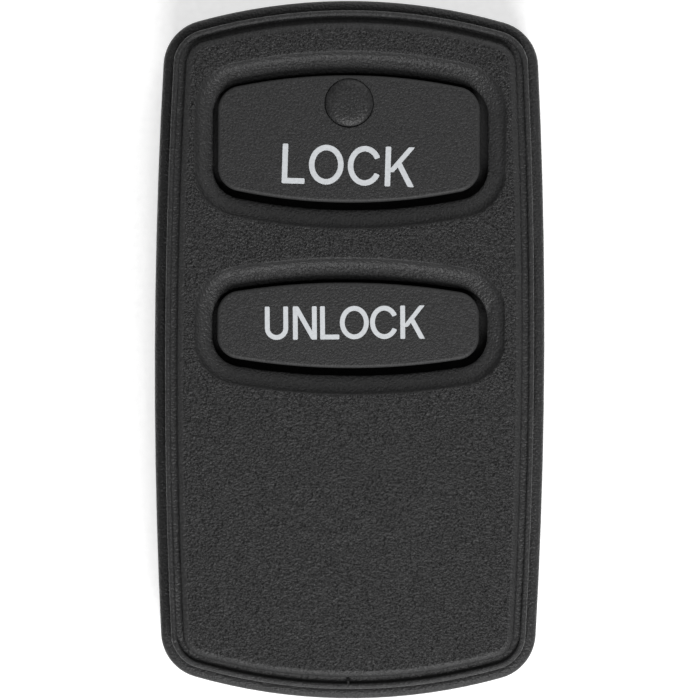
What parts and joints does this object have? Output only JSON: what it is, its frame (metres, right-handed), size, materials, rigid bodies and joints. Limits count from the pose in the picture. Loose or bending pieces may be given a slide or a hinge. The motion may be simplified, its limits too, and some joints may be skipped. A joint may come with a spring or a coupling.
{
  "type": "car key fob",
  "caption": "Two-button remote key fob: grained two-part case with bowed keys in dished surrounds, lamp lens, board, coin cell and key ring bar.",
  "frame": {"origin": "middle of the case's outline, on the flat rear face", "axes": "+Z out of the rear face towards the keys, +Y towards the lock key's end, +X to the right of somebody looking at the keys"},
  "size_m": [0.0324, 0.058, 0.0126],
  "materials": {
    "grained_plastic": "moulded black plastic with a fine leather-like grain",
    "key_plastic": "moulded black plastic, finely spark-textured",
    "smoked_lens": "smoked polycarbonate, satin",
    "silicone": "matte silicone rubber",
    "board": "solder mask over glass laminate",
    "copper": "gold-plated copper track",
    "lamp": "tinted epoxy",
    "chip": "moulded epoxy with tinned pins",
    "capacitor": "fired ceramic",
    "steel": "bright stainless steel",
    "contact": "nickel-plated spring steel",
    "screw_steel": "black zinc-plated steel",
    "switch_plastic": "moulded black nylon"
  },
  "bodies": {
    "case": {"front_cover": "grained_plastic", "rear_cover": "grained_plastic", "button_pad": "silicone", "circuit_board": "board", "loop_antenna": "copper", "indicator_lamp": "lamp", "microcontroller": "chip", "transmitter_chip": "chip", "crystal": "steel", "chip_capacitors": "capacitor", "chip_resistors": "chip", "coin_cell": "steel", "battery_positive_contact": "contact", "battery_negative_contact": "contact", "cover_screw": "screw_steel", "lock_switch_body": "switch_plastic", "lock_switch_cover": "contact", "lock_switch_dome": "contact", "unlock_switch_body": "switch_plastic", "unlock_switch_cover": "contact", "unlock_switch_dome": "contact"},
    "lock_key": {"lock_button": "key_plastic", "lamp_lens": "smoked_lens"},
    "unlock_key": {"unlock_button": "key_plastic"},
    "lock_plunger": {"lock_switch_plunger": "switch_plastic"},
    "unlock_plunger": {"unlock_switch_plunger": "switch_plastic"}
  },
  "joints": [
    {"name": "lock_press", "type": "slide", "parent": "case", "child": "lock_key", "axis": [0, 0, -1], "range_m": [0, 0.0005], "stiffness_N_per_m": 6000, "deforming": ["button_pad"]},
    {"name": "unlock_press", "type": "slide", "parent": "case", "child": "unlock_key", "axis": [0, 0, -1], "range_m": [0, 0.0005], "stiffness_N_per_m": 6000},
    {"name": "lock_click", "type": "slide", "parent": "case", "child": "lock_plunger", "axis": [0, 0, -1], "range_m": [0, 0.00025], "deforming": ["lock_switch_dome"]},
    {"name": "unlock_click", "type": "slide", "parent": "case", "child": "unlock_plunger", "axis": [0, 0, -1], "range_m": [0, 0.00025], "deforming": ["unlock_switch_dome"]}
  ],
  "couplings": [
    {"joint": "lock_click", "follows": "lock_press", "ratio": 0.5},
    {"joint": "unlock_click", "follows": "unlock_press", "ratio": 0.5}
  ]
}
